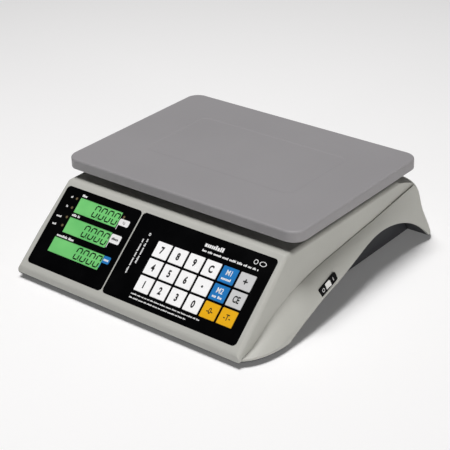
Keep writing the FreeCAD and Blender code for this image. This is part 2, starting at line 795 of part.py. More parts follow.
def board_screws():
    """Small pan-head screws of the three front boards."""
    head_radius, head_height = board_screw_head
    screws = []
    for places, depth in panel_boards():
        back = -depth - board_thickness
        for x, s in places:
            head = rod(x, s, back - head_height, back, head_radius)
            screws.append(on_panel(head.fuse(rod(x, s, back, -wall - 0.6, board_hole_radius))))
    top = main_board_z + board_thickness
    for x, y in main_board_posts:
        head = rod(x, y, top, top + head_height, head_radius)
        screws.append(head.fuse(rod(x, y, main_board_z - 7, top, board_hole_radius)))
    return Part.makeCompound(screws)


def battery():
    x0, x1, y0, y1, z0, z1 = battery_box
    case = rounded_box(x0, x1, y0, y1, z0, z1 - battery_lid, 3)
    lid = rounded_box(x0 + 1, x1 - 1, y0 + 1, y1 - 1, z1 - battery_lid - 0.1, z1, 3)
    tabs = [box(x1 - 14, x1 - 9, y, y + 0.8, z1 - 0.1, z1 + 5) for y in (y0 + 12, y1 - 12.8)]
    return fuse_all([case, lid] + tabs)


def battery_strap():
    """Flat strip bent over the battery, with a foot at each end."""
    x0, x1, y0, y1, z0, z1 = battery_box
    middle = (x0 + x1) / 2
    a, b = middle - strap_half, middle + strap_half
    fit = strap_fit
    t = strap_thickness
    strap = box(a, b, y0 - t - fit, y1 + t + fit, z0, z1 + t + fit)
    strap = strap.cut(box(a - 1, b + 1, y0 - fit, y1 + fit, z0 - 1, z1 + fit))
    front_foot = box(a, b, y0 - strap_foot, y0 - fit - 0.1, z0, z0 + t)
    rear_foot = box(a, b, y1 + fit + 0.1, y1 + strap_foot, z0, z0 + t)
    return strap.fuse(front_foot).fuse(rear_foot)


def power_inlet():
    """Barrel socket: body, open bore and centre pin, facing into the hand hold."""
    y, z = inlet_place
    w, h, depth = inlet_size
    face_x = -hold_wall_x + 0.2
    body = box(face_x, face_x + depth, y - w / 2, y + w / 2, z - h / 2, z + h / 2)
    inwards = Vector(1, 0, 0)
    body = body.cut(Part.makeCylinder(inlet_bore_radius, 9, Vector(face_x - 0.1, y, z), inwards))
    return body.fuse(Part.makeCylinder(inlet_pin_radius, 8.6, Vector(face_x + 0.6, y, z), inwards))


# ---------- switch, level, rear read-out ----------

def switch_plate():
    plate = at_switch(centred(switch_plate_size, -1.0, -1.0 + switch_plate_size[2], 1.9))
    hole = at_switch(centred((rocker_size[0] + 2.4, rocker_size[1] + 0.8), -3, 3, 0.8))
    return plate.cut(hole)


def switch_housing():
    w, h, depth = switch_body_size
    top = -switch_plate_pocket
    body = box(-w / 2, w / 2, -h / 2, h / 2, top - depth, top)
    half_x = rocker_size[0] / 2 + 1.3
    half_y = rocker_size[1] / 2 + 0.15
    return at_switch(body.cut(box(-half_x, half_x, -half_y, half_y, top - rocker_size[2] - 0.4, 0)))


def power_rocker():
    w, h, depth = rocker_size
    body = rounded_box(-w / 2, w / 2, -h / 2, h / 2, -depth, 1.0, 0.8)
    dish = Part.makeCylinder(rocker_dish, h + 2, Vector(0, -h / 2 - 1, rocker_dish + 0.4), Vector(0, 1, 0))
    body = body.cut(dish)
    turned = body.copy()
    turned.rotate(Vector(0, 0, -rocker_axis_depth), Vector(0, 1, 0), -rocker_travel / 2)
    return at_switch(turned)


def level_holder():
    x, y = level_place
    outer = rod(x, y, deck_z - 8.4, deck_z - 0.2, level_radius + level_rim)
    return outer.cut(rod(x, y, deck_z - 7, deck_z + 1, level_radius + 0.1))


def level_vial():
    x, y = level_place
    return rod(x, y, deck_z - 7, deck_z - 0.6, level_radius)


def rear_display_window():
    top = -0.3
    plate = centred(rear_sheet_size, top - rear_sheet_size[2], top, 3)
    w, h, _ = rear_readout_size
    for i in (-1, 0, 1):
        cx = i * rear_readout_pitch
        plate = plate.cut(box(cx - w / 2 + 1.5, cx + w / 2 - 1.5, -h / 2 + 1.5, h / 2 - 1.5, -3, 3))
    return at_rear(plate)


def rear_lcds():
    w, h, t = rear_readout_size
    places = [i * rear_readout_pitch for i in (-1, 0, 1)]
    top = rear_readout_top
    return Part.makeCompound([
        at_rear(box(cx - w / 2, cx + w / 2, -h / 2, h / 2, top - t, top)) for cx in places])


def rear_display_board():
    x, y = rear_board_half
    top = rear_readout_top - rear_readout_size[2]
    return at_rear(box(-x, x, -y, y, top - board_thickness, top))


# ---------- feet and screws ----------

def foot_sole(x, y):
    sole = rod(x, y, 0, sole_height, sole_radius)
    rims = [e for e in sole.Edges if e.Length > 2 * math.pi * sole_radius - 1]
    sole = sole.makeChamfer(sole_chamfer, rims)
    return sole.cut(rod(x, y, 1.0, sole_height + 1, sole_pivot_radius))


def foot_stud(x, y):
    """Notched wheel with its pivot in the sole and its stud in the tray's boss."""
    points = []
    for i in range(2 * wheel_notches + 1):
        angle = math.pi * i / wheel_notches
        radius = wheel_radii[i % 2]
        points.append(Vector(x + radius * math.cos(angle), y + radius * math.sin(angle), wheel_z[0]))
    wheel = Part.Face(Part.makePolygon(points)).extrude(Vector(0, 0, wheel_z[1] - wheel_z[0]))
    pivot = rod(x, y, 1.2, wheel_z[0] + 0.2, pivot_radius)
    return fuse_all([wheel, pivot, rod(x, y, wheel_z[1] - 0.1, stud_top_z, stud_radius)])


def housing_screws():
    head_radius, head_height = housing_screw_head
    low = base_bottom_z + 0.1
    screws = []
    for x, y in screw_places:
        head = rod(x, y, low, low + head_height, head_radius)
        slot = box(x - 2, x + 2, y - 0.4, y + 0.4, low - 0.1, low + 0.6)
        shank = rod(x, y, low + head_height, housing_boss_z + housing_screw_reach, housing_screw_radius)
        screws.append(head.cut(slot).fuse(shank))
    return Part.makeCompound(screws)


def main():
    os.makedirs("parts", exist_ok=True)
    outer = outer_form(0, housing_bottom_z)
    inner = outer_form(wall, housing_bottom_z - 4)
    rim = outer_form(base_inset, base_bottom_z - 1)
    lining = outer_form(wall + base_fit, base_bottom_z - 1)
    core = outer_form(wall + base_fit + base_wall, base_bottom_z - 1)

    save("upper_housing", upper_housing(outer, inner))
    save("lower_base", lower_base(rim, lining, core))
    save("housing_screws", housing_screws())
    save("display_window", sheet("display_window"))
    save("keypad_overlay", sheet("keypad_overlay"))
    for name in readouts:
        save(name, readout(name))
    save("lcd_backlights", lcd_backlights())
    save("indicator_lamps", indicator_lamps())
    save("display_board", panel_board(display_board_span, display_board_depth, display_board_posts))
    save("keypad_board", panel_board(keypad_board_span, keypad_board_depth, keypad_board_posts))
    save("key_domes", key_domes())
    save("main_board", main_board())
    save("board_screws", board_screws())
    save("battery", battery())
    save("battery_strap", battery_strap())
    save("power_inlet", power_inlet())
    save("switch_plate", switch_plate())
    save("switch_housing", switch_housing())
    save("power_rocker", power_rocker())
    save("level_holder", level_holder())
    save("level_vial", level_vial())
    save("rear_display_window", rear_display_window())
    save("rear_lcds", rear_lcds())
    save("rear_display_board", rear_display_board())
    save("load_cell", load_cell())
    save("load_cell_spacer", load_cell_spacer())
    save("cell_base_screws", cell_base_screws())
    save("cell_top_screws", cell_top_screws())
    save("load_column", load_column())
    save("platter_support", platter_support())
    save("platter_pads", platter_pads())
    save("platter", platter())
    for name, x, s in key_centres():
        save(name, key_cap(x, s))
    for place, (x, y) in foot_places.items():
        save("foot_" + place + "_sole", foot_sole(x, y))
        save("foot_" + place + "_stud", foot_stud(x, y))


main()
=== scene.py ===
import json
import math
import random

import bmesh
import bpy
from mathutils import Matrix, Vector

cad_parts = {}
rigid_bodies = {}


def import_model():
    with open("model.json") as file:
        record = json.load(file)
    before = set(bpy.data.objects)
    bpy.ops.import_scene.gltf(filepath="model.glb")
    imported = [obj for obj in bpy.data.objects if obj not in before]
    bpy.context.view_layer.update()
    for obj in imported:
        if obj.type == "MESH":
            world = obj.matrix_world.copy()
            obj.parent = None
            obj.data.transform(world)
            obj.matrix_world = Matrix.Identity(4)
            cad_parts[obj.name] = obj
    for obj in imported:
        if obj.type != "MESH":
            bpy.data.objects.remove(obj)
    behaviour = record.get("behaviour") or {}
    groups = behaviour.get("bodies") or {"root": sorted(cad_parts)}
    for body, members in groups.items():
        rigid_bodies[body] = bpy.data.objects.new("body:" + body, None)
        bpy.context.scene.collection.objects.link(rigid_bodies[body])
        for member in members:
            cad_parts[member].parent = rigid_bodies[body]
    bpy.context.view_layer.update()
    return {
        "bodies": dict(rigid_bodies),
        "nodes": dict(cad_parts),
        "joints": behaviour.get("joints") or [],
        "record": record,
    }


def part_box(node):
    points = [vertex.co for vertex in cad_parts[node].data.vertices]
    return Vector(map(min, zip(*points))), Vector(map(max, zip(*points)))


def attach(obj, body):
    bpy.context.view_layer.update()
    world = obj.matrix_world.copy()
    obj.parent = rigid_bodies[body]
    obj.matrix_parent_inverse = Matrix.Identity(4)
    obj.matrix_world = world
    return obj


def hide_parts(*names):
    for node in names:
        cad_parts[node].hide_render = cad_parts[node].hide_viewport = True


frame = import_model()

mm = 0.001
scene = bpy.context.scene
nodes = frame["nodes"]
print("frame loaded with", len(nodes), "nodes")


# camera and light

cameraLook = {
    "place": (0.86736, -1.03030, 0.74561),
    "aside": 40.21,          # degrees round from straight in front
    "above": 27.77,
    "roll": -2.32,
    "lens": 107.83,
    "sensor": 36.0,
}

lightLook = {
    "skyColour": (1.0, 1.0, 1.0, 1.0),
    "skyStrength": 0.03,
    "colourTransform": "Standard",
    # name: place, size, watts, colour
    "softboxes": {
        "overhead": ((-0.10, -0.15, 2.4), 0.8, 53.0, (1.0, 0.99, 0.99)),
        "frontFill": ((-0.3, -2.2, 0.20), 0.3, 5.5, (1.0, 1.0, 1.0)),
        "rightFill": ((2.2, -0.4, 0.20), 0.3, 14.0, (1.0, 0.98, 0.95)),
    },
    "aim": (0.0, 0.0, 0.05),
}


def setCamera():
    aside = math.radians(cameraLook["aside"])
    above = math.radians(cameraLook["above"])
    roll = math.radians(cameraLook["roll"])
    back = Vector((math.sin(aside) * math.cos(above), -math.cos(aside) * math.cos(above), math.sin(above)))
    level = Vector((math.cos(aside), math.sin(aside), 0.0))
    upward = back.cross(level)
    across = level * math.cos(roll) + upward * math.sin(roll)
    upright = upward * math.cos(roll) - level * math.sin(roll)
    turned = Matrix((across, upright, back)).transposed().to_4x4()
    data = bpy.data.cameras.new("mainCamera")
    data.lens = cameraLook["lens"]
    data.sensor_width = cameraLook["sensor"]
    data.clip_start = 0.05
    camera = bpy.data.objects.new("mainCamera", data)
    camera.matrix_world = Matrix.Translation(cameraLook["place"]) @ turned
    scene.collection.objects.link(camera)
    scene.camera = camera


def setLights():
    world = bpy.data.worlds.new("studioAir")
    world.use_nodes = True
    air = world.node_tree.nodes["Background"]
    air.inputs["Color"].default_value = lightLook["skyColour"]
    air.inputs["Strength"].default_value = lightLook["skyStrength"]
    scene.world = world
    scene.view_settings.view_transform = lightLook["colourTransform"]
    for name, (place, size, watts, colour) in lightLook["softboxes"].items():
        data = bpy.data.lights.new(name, "AREA")
        data.shape = "SQUARE"
        data.size = size
        data.energy = watts
        data.color = colour
        lamp = bpy.data.objects.new(name, data)
        lamp.location = place
        aim = Vector(lightLook["aim"]) - Vector(place)
        lamp.rotation_euler = aim.to_track_quat("-Z", "Y").to_euler()
        lamp.visible_camera = False
        scene.collection.objects.link(lamp)


setCamera()
setLights()
print("camera and lights set")


# materials

def tone(red, green, blue, factor=1.0):
    # a screen colour, 0 to 255, as the linear colour that the shader takes
    def linear(value):
        share = value / 255
        low = share / 12.92
        high = ((share + 0.055) / 1.055) ** 2.4
        return factor * (low if share <= 0.04045 else high)
    return (linear(red), linear(green), linear(blue), 1.0)


class Pattern:
    # a socket that can be added, taken away and multiplied like a number
    def __init__(self, finish, socket):
        self.finish = finish
        self.socket = socket

    def combine(self, operation, first, second):
        return self.finish.add("ShaderNodeMath", {"operation": operation}, {0: first, 1: second})

    def __add__(self, other):
        return self.combine("ADD", self, other)

    def __sub__(self, other):
        return self.combine("SUBTRACT", self, other)

    def __mul__(self, other):
        return self.combine("MULTIPLY", self, other)

    def __radd__(self, other):
        return self.combine("ADD", other, self)

    def __rsub__(self, other):
        return self.combine("SUBTRACT", other, self)


class Finish:
    # one material with its shader
    def __init__(self, name):
        self.material = bpy.data.materials.new(name)
        self.material.use_nodes = True
        self.tree = self.material.node_tree
        self.tree.nodes.clear()
        self.shader = self.tree.nodes.new("ShaderNodeBsdfPrincipled")
        output = self.tree.nodes.new("ShaderNodeOutputMaterial")
        self.tree.links.new(self.shader.outputs[0], output.inputs[0])

    def feed(self, socket, value):
        if isinstance(value, Pattern):
            self.tree.links.new(value.socket, socket)
        else:
            socket.default_value = value

    def add(self, kind, settings, inputs, output=0):
        node = self.tree.nodes.new(kind)
        for name, value in settings.items():
            setattr(node, name, value)
        for name, value in inputs.items():
            self.feed(node.inputs[name], value)
        return Pattern(self, node.outputs[output])

    def place(self, stretch=(1.0, 1.0, 1.0), turn=(0.0, 0.0, 0.0)):
        where = self.add("ShaderNodeTexCoord", {}, {}, "Object")
        return self.add("ShaderNodeMapping", {}, {"Vector": where, "Scale": stretch, "Rotation": turn})

    def noise(self, where, scale, detail=2.0, roughness=0.5):
        sockets = {"Vector": where, "Scale": scale, "Detail": detail, "Roughness": roughness}
        return self.add("ShaderNodeTexNoise", {}, sockets)

    def cells(self, where, scale, feature="F1"):
        return self.add("ShaderNodeTexVoronoi", {"feature": feature}, {"Vector": where, "Scale": scale})

    def steps(self, value, low, high):
        # 0 below low, 1 above high
        sockets = {"Value": value, "From Min": low, "From Max": high}
        return self.add("ShaderNodeMapRange", {"clamp": True}, sockets)

    def mix(self, factor, first, second):
        return self.add("ShaderNodeMix", {"data_type": "RGBA"}, {0: factor, 6: first, 7: second}, 2)

    def bump(self, height, strength, distance):
        return self.add("ShaderNodeBump", {}, {"Height": height, "Strength": strength, "Distance": distance})

    def shade(self, values):
        for name, value in values.items():
            self.feed(self.shader.inputs[name], value)
        return self.material


def lighter(colour, share):
    return tuple(min(1.0, value * (1.0 + share)) for value in colour[:3]) + (1.0,)


def mouldedPlastic(name, look):
    # eroded mould texture, a little uneven in colour, duller where the grain is deep
    finish = Finish(name)
    where = finish.place()
    cloud = finish.steps(finish.noise(where, look["cloudScale"], 3.0), 0.3, 0.7)
    grain = finish.noise(where, look["grainScale"], 3.0, 0.6)
    pits = finish.cells(where, look["grainScale"] * 0.6)
    specks = finish.steps(finish.noise(where, look["grainScale"] * 0.35, 1.0), 0.66, 0.74)
    light = lighter(look["colour"], look["variation"])
    dark = lighter(look["colour"], -look["variation"])
    clean = finish.mix(cloud, dark, light)
    colour = finish.mix(specks * look["speck"], clean, lighter(look["colour"], -0.35))
    rough = look["roughness"] + (grain - 0.5) * look["roughnessSpread"]
    height = grain * 0.7 + pits * 0.3
    return finish.shade({
        "Base Color": colour,
        "Roughness": rough,
        "Specular IOR Level": look["gloss"],
        "Normal": finish.bump(height, look["grainDepth"], 0.0002),
    })


plasticLooks = {
    "housing_grey": {
        "colour": tone(183, 183, 177), "variation": 0.03, "cloudScale": 14.0, "grainScale": 1400.0,
        "speck": 0.10, "roughness": 0.55, "roughnessSpread": 0.2, "gloss": 0.35, "grainDepth": 0.18,
    },
    "platter_grey": {
        "colour": tone(149, 147, 149), "variation": 0.025, "cloudScale": 9.0, "grainScale": 1100.0,
        "speck": 0.12, "roughness": 0.5, "roughnessSpread": 0.22, "gloss": 0.35, "grainDepth": 0.22,
    },
    "base_black": {
        "colour": tone(46, 47, 51), "variation": 0.08, "cloudScale": 20.0, "grainScale": 1200.0,
        "speck": 0.15, "roughness": 0.5, "roughnessSpread": 0.2, "gloss": 0.4, "grainDepth": 0.25,
    },
    "key_white": {
        "colour": tone(253, 253, 253), "variation": 0.01, "cloudScale": 60.0, "grainScale": 2600.0,
        "speck": 0.02, "roughness": 0.42, "roughnessSpread": 0.12, "gloss": 0.4, "grainDepth": 0.10,
    },
    "key_grey": {
        "colour": tone(206, 206, 207), "variation": 0.015, "cloudScale": 60.0, "grainScale": 2600.0,
        "speck": 0.03, "roughness": 0.42, "roughnessSpread": 0.12, "gloss": 0.4, "grainDepth": 0.10,
    },
    "key_blue": {
        "colour": tone(24, 119, 190), "variation": 0.03, "cloudScale": 60.0, "grainScale": 2600.0,
        "speck": 0.03, "roughness": 0.42, "roughnessSpread": 0.12, "gloss": 0.4, "grainDepth": 0.10,
    },
    "key_yellow": {
        "colour": tone(236, 176, 8), "variation": 0.02, "cloudScale": 60.0, "grainScale": 2600.0,
        "speck": 0.03, "roughness": 0.42, "roughnessSpread": 0.12, "gloss": 0.4, "grainDepth": 0.10,
    },
    "rocker_white": {
        "colour": tone(238, 238, 236), "variation": 0.01, "cloudScale": 80.0, "grainScale": 2600.0,
        "speck": 0.02, "roughness": 0.3, "roughnessSpread": 0.1, "gloss": 0.5, "grainDepth": 0.06,
    },
    "inlet_black": {
        "colour": tone(30, 30, 32), "variation": 0.05, "cloudScale": 60.0, "grainScale": 1800.0,
        "speck": 0.05, "roughness": 0.35, "roughnessSpread": 0.12, "gloss": 0.5, "grainDepth": 0.1,
    },
    "battery_case": {
        "colour": tone(52, 54, 58), "variation": 0.05, "cloudScale": 24.0, "grainScale": 900.0,
        "speck": 0.1, "roughness": 0.48, "roughnessSpread": 0.2, "gloss": 0.4, "grainDepth": 0.2,
    },
    "diffuser_white": {
        "colour": tone(232, 238, 226), "variation": 0.02, "cloudScale": 60.0, "grainScale": 900.0,
        "speck": 0.0, "roughness": 0.6, "roughnessSpread": 0.1, "gloss": 0.3, "grainDepth": 0.1,
    },
    "pad_rubber": {
        "colour": tone(58, 58, 60), "variation": 0.12, "cloudScale": 70.0, "grainScale": 900.0,
        "speck": 0.25, "roughness": 0.82, "roughnessSpread": 0.2, "gloss": 0.25, "grainDepth": 0.4,
    },
    "foot_black": {
        "colour": tone(40, 40, 42), "variation": 0.1, "cloudScale": 70.0, "grainScale": 1000.0,
        "speck": 0.2, "roughness": 0.7, "roughnessSpread": 0.2, "gloss": 0.3, "grainDepth": 0.35,
    },
}

sheetLook = {
    "colour": tone(2, 2, 3),
    "smearColour": tone(6, 6, 7),
    "roughness": 0.42,
    "roughnessSpread": 0.06,
    "smearScale": 26.0,
    "smear": 0.06,
    "gloss": 0.05,
    "grainScale": 2200.0,
    "grainDepth": 0.05,
}


def printedSheet(name):
    # back-printed polyester film: fine matt texture, faint finger smears
    finish = Finish(name)
    where = finish.place()
    smears = finish.steps(finish.noise(where, sheetLook["smearScale"], 4.0, 0.65), 0.45, 0.75)
    grain = finish.noise(where, sheetLook["grainScale"], 2.0)
    rough = sheetLook["roughness"] + smears * sheetLook["smear"]
    rough = rough + (grain - 0.5) * sheetLook["roughnessSpread"]
    return finish.shade({
        "Base Color": finish.mix(smears, sheetLook["colour"], sheetLook["smearColour"]),
        "Roughness": rough,
        "Specular IOR Level": sheetLook["gloss"],
        "Normal": finish.bump(grain, sheetLook["grainDepth"], 0.0001),
    })


glassLook = {
    "colour": tone(112, 190, 112),
    "edge": tone(98, 178, 102),
    "glow": 0.24,
    "poolScale": 34.0,
    "dotScale": 1900.0,
}


def litCrystal(name):
    # back-lit display glass, brighter near the lamps, with the fine dot grid of the diffuser
    finish = Finish(name)
    where = finish.place()
    pools = finish.steps(finish.noise(where, glassLook["poolScale"], 1.0), 0.3, 0.7)
    dots = finish.cells(where, glassLook["dotScale"])
    colour = finish.mix(pools, glassLook["edge"], glassLook["colour"])
    return finish.shade({
        "Base Color": colour,
        "Roughness": 0.12 + dots * 0.05,
        "Specular IOR Level": 0.3,
        "Coat Weight": 0.15,
        "Coat Roughness": 0.05,
        "Emission Color": colour,
        "Emission Strength": glassLook["glow"],
    })


metalLooks = {
    "screw_steel": {"colour": (0.56, 0.57, 0.58, 1.0), "roughness": 0.34, "stretch": (1.0, 1.0, 30.0)},
    "strap_steel": {"colour": (0.50, 0.51, 0.52, 1.0), "roughness": 0.38, "stretch": (1.0, 30.0, 1.0)},
    "dome_steel": {"colour": (0.62, 0.62, 0.62, 1.0), "roughness": 0.28, "stretch": (1.0, 18.0, 1.0)},
    "cell_aluminium": {"colour": (0.72, 0.73, 0.74, 1.0), "roughness": 0.42, "stretch": (1.0, 28.0, 28.0)},
}


def brushedMetal(name, look):
    # drawn or milled surface: long tool marks over a cloudy oxide
    finish = Finish(name)
    marks = finish.noise(finish.place(look["stretch"]), 160.0, 4.0, 0.7)
    cloud = finish.steps(finish.noise(finish.place(), 40.0, 3.0), 0.35, 0.7)
    return finish.shade({
        "Base Color": finish.mix(cloud, lighter(look["colour"], -0.12), look["colour"]),
        "Metallic": 1.0,
        "Roughness": look["roughness"] + (marks - 0.5) * 0.25 + cloud * 0.06,
        "Normal": finish.bump(marks, 0.2, 0.0001),
    })


def solderMask(name):
    # circuit board: tracks under green lacquer, tinned pads
    finish = Finish(name)
    where = finish.place()
    tracks = finish.add("ShaderNodeTexBrick", {"offset": 0.37, "squash": 0.6}, {
        "Vector": where, "Scale": 210.0, "Mortar Size": 0.06, "Mortar Smooth": 0.1,
    }, "Fac")
    pads = 1.0 - finish.steps(finish.cells(where, 260.0), 0.16, 0.2)
    lacquer = finish.mix(tracks, tone(20, 78, 44), tone(36, 112, 62))
    return finish.shade({
        "Base Color": finish.mix(pads, lacquer, tone(196, 196, 190)),
        "Metallic": pads * 0.8,
        "Roughness": 0.3 + pads * 0.12,
        "Normal": finish.bump(tracks + pads, 0.3, 0.0001),
    })


def lampLens(name):
    finish = Finish(name)
    where = finish.place()
    ripple = finish.noise(where, 900.0, 2.0)
    return finish.shade({
        "Base Color": finish.mix(ripple, tone(92, 78, 56), tone(128, 112, 84)),
        "Roughness": 0.22 + ripple * 0.1,
        "Coat Weight": 0.4,
        "Normal": finish.bump(ripple, 0.2, 0.0001),
    })


def vialLiquid(name):
    finish = Finish(name)
    where = finish.place()
    swirl = finish.noise(where, 120.0, 2.0)
    return finish.shade({
        "Base Color": finish.mix(swirl, tone(176, 214, 70), tone(196, 228, 96)),
        "Roughness": 0.06 + swirl * 0.04,
        "Coat Weight": 1.0,
        "Coat Roughness": 0.03,
    })


def ink(name, colour, roughness):
    # screen print, thinner towards its edges here and there
    finish = Finish(name)
    where = finish.place()
    screen = finish.noise(where, 1500.0, 2.0)
    return finish.shade({
        "Base Color": finish.mix(screen, lighter(colour, -0.06), lighter(colour, 0.04)),
        "Roughness": roughness + (screen - 0.5) * 0.1,
        "Normal": finish.bump(screen, 0.1, 0.00005),
    })


finishes = {name: mouldedPlastic(name, look) for name, look in plasticLooks.items()}
finishes.update({name: brushedMetal(name, look) for name, look in metalLooks.items()})
finishes["sheet_black"] = printedSheet("sheet_black")
finishes["lcd_green"] = litCrystal("lcd_green")
finishes["board_green"] = solderMask("board_green")
finishes["lamp_amber"] = lampLens("lamp_amber")
finishes["vial_glass"] = vialLiquid("vial_glass")
whiteInk = ink("whiteInk", tone(236, 236, 236), 0.45)
blackInk = ink("blackInk", tone(14, 14, 15), 0.4)
blueInk = ink("blueInk", tone(24, 119, 190), 0.45)
segmentInk = ink("segmentInk", tone(8, 26, 10), 0.3)
bubbleInk = ink("bubbleInk", tone(236, 246, 196), 0.15)

for part in frame["record"]["subparts"]:
    surface = nodes[part["node"]].data
    surface.materials.clear()
    surface.materials.append(finishes[part["material_slot"]])
print("materials made:", len(bpy.data.materials))


# shapes

def makePiece(name, form, finish, body):
    mesh = bpy.data.meshes.new(name)
    form.to_mesh(mesh)
    form.free()
    mesh.materials.append(finish)
    piece = bpy.data.objects.new(name, mesh)
    scene.collection.objects.link(piece)
    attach(piece, body)
    return piece


def joinForm(target, form, place):
    form.transform(place)
    carrier = bpy.data.meshes.new("carrierMesh")
    form.to_mesh(carrier)
    form.free()
    target.from_mesh(carrier)
    bpy.data.meshes.remove(carrier)


def roundedPlate(target, place, size, thickness, corner=0.0, segments=4):
    # a flat plate on local X and Y, standing up by its thickness
    form = bmesh.new()
    bmesh.ops.create_grid(form, x_segments=1, y_segments=1, size=0.5)
    bmesh.ops.scale(form, vec=(size[0], size[1], 1.0), verts=form.verts)
    if corner > 0:
        bmesh.ops.bevel(form, geom=list(form.verts), offset=corner, segments=segments, profile=0.5,
                        affect="VERTICES", material=-1)
    raised = bmesh.ops.extrude_face_region(form, geom=list(form.faces))["geom"]
    corners = [item for item in raised if isinstance(item, bmesh.types.BMVert)]
    bmesh.ops.translate(form, vec=(0.0, 0.0, thickness), verts=corners)
    bmesh.ops.recalc_face_normals(form, faces=form.faces)
    joinForm(target, form, place)


def ringPlate(target, place, radius, line, thickness, stretch=1.0):
    # a flat ring, such as a printed circle
    form = bmesh.new()
    bmesh.ops.create_circle(form, cap_ends=True, radius=radius, segments=28)
    inner = form.faces[:]
    bmesh.ops.inset_region(form, faces=inner, thickness=line, use_even_offset=True, use_boundary=True)
    bmesh.ops.delete(form, geom=inner, context="FACES_ONLY")
    raised = bmesh.ops.extrude_face_region(form, geom=list(form.faces))["geom"]
    corners = [item for item in raised if isinstance(item, bmesh.types.BMVert)]
    bmesh.ops.translate(form, vec=(0.0, 0.0, thickness), verts=corners)
    bmesh.ops.scale(form, vec=(stretch, 1.0, 1.0), verts=form.verts)
    bmesh.ops.recalc_face_normals(form, faces=form.faces)
    joinForm(target, form, place)


capHeight = 0.73         # height of a capital in a font of size 1


def letterPlate(target, place, words, height, thickness, narrow=1.0, weight=0.0):
    # printed characters, centred on the place
    curve = bpy.data.curves.new("letterCurve", "FONT")
    curve.body = words
    curve.size = 1.0
    curve.offset = weight
    curve.extrude = 0.5
    curve.resolution_u = 4
    holder = bpy.data.objects.new("letterHolder", curve)
    mesh = bpy.data.meshes.new_from_object(holder)
    form = bmesh.new()
    form.from_mesh(mesh)
    bpy.data.objects.remove(holder)
    bpy.data.curves.remove(curve)
    bpy.data.meshes.remove(mesh)
    bmesh.ops.remove_doubles(form, verts=form.verts, dist=0.0005)
    lows = [min(vert.co[axis] for vert in form.verts) for axis in range(3)]
    highs = [max(vert.co[axis] for vert in form.verts) for axis in range(3)]
    middle = Vector([-(low + high) / 2 for low, high in zip(lows, highs)])
    bmesh.ops.translate(form, vec=middle, verts=form.verts)
    size = height / capHeight
    bmesh.ops.scale(form, vec=(size * narrow, size, thickness), verts=form.verts)
    bmesh.ops.translate(form, vec=(0.0, 0.0, thickness / 2), verts=form.verts)
    joinForm(target, form, place)


def greekLine(target, place, length, height, seed, thickness):
    # a printed line that can't be read: blocks in word-like groups
    chance = random.Random(seed)
    along = 0.0
    while along < length - height:
        for _ in range(chance.randint(3, 9)):
            width = height * chance.uniform(0.45, 0.75)
            tall = height * chance.choice((0.72, 0.72, 0.72, 1.0))
            if along + width > length:
                break
            centre = Matrix.Translation((along + width / 2, (tall - height) / 2, 0.0))
            roundedPlate(target, place @ centre, (width * 0.8, tall), thickness)
            along += width
        along += height * 0.6


# the six bars of a zero: middle in digit widths and heights, and whether it lies flat
zeroBars = [
    (0.5, 1.0, True), (0.5, 0.0, True),
    (0.0, 0.77, False), (1.0, 0.77, False),
    (0.0, 0.23, False), (1.0, 0.23, False),
]
uprightShare = 0.42      # length of an upright bar in digit heights


def segmentZero(target, place, look):
    wide = look["width"]
    tall = look["height"]
    stroke = look["stroke"]
    lean = Matrix.Identity(4)
    lean[0][1] = look["lean"]
    for x, y, flat in zeroBars:
        length = wide if flat else tall * uprightShare
        turn = Matrix.Identity(4) if flat else Matrix.Rotation(math.pi / 2, 4, "Z")
        centre = Matrix.Translation(((x - 0.5) * wide, (y - 0.5) * tall, 0.0))
        roundedPlate(target, place @ lean @ centre @ turn, (length, stroke), look["thickness"],
                     stroke * 0.49, 1)


# shells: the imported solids, welded and smooth-shaded

shellLook = {
    "weld": 0.00001,
    "creaseAngle": 28.0,
    # node: new piece, body
    "shells": {
        "upper_housing": ("housing_shell", "housing"),
        "lower_base": ("base_tray", "housing"),
        "platter": ("platter_tray", "platter"),
        # the carrier is a real platter support, but its dark rim, seen as a band in the gap under the
        # platter, is also painted shade where the platter's shadow falls
        "platter_support": ("carrier_frame", "carrier"),
        "switch_plate": ("switch_bezel", "housing"),
        "power_rocker": ("rocker_cap", "rocker"),
        "level_holder": ("level_ring", "housing"),
        "battery": ("battery_block", "housing"),
        "load_cell_spacer": ("cell_spacer", "housing"),
        "load_column": ("cell_column", "carrier"),
    },
}
slotOf = {part["node"]: part["material_slot"] for part in frame["record"]["subparts"]}


def shadeByAngle(form, angle):
    for face in form.faces:
        face.smooth = True
    for edge in form.edges:
        edge.smooth = len(edge.link_faces) == 2 and edge.calc_face_angle() < math.radians(angle)


def weldedShell(node, name, body):
    form = bmesh.new()
    form.from_mesh(nodes[node].data)
    bmesh.ops.remove_doubles(form, verts=form.verts, dist=shellLook["weld"])
    bmesh.ops.dissolve_degenerate(form, edges=form.edges, dist=shellLook["weld"] / 10)
    shadeByAngle(form, shellLook["creaseAngle"])
    slot = slotOf[node]
    piece = makePiece(name, form, finishes[slot], body)
    even = piece.modifiers.new("evenShading", "WEIGHTED_NORMAL")
    even.keep_sharp = True
    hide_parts(node)
    return piece


for node, (name, body) in shellLook["shells"].items():
    weldedShell(node, name, body)
for node in nodes:
    if node.startswith("key_") and node in frame["bodies"]:
        weldedShell(node, node + "_cap", node)
print("shells welded")


# front panel

panelLook = {
    "recess": 0.3 * mm,          # the sheets lie this far below the frame
    "sheetThickness": 0.6 * mm,
}


def panelPlace():
    # local X across, Y up the slope, Z out of the panel, from the press axis and the sheet's lower edge
    press = next(joint for joint in frame["joints"] if joint["name"] == "key_7_press")
    out = -Vector(press["axis"])
    up = out.cross(Vector((1.0, 0.0, 0.0)))
    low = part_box("keypad_overlay")[0]
    footY = low.y + panelLook["recess"] * out.y
    footZ = low.z + (panelLook["recess"] + panelLook["sheetThickness"]) * out.z
    turned = Matrix((Vector((1.0, 0.0, 0.0)), up, out)).transposed().to_4x4()
    return Matrix.Translation((0.0, footY, footZ)) @ turned


panel = panelPlace()


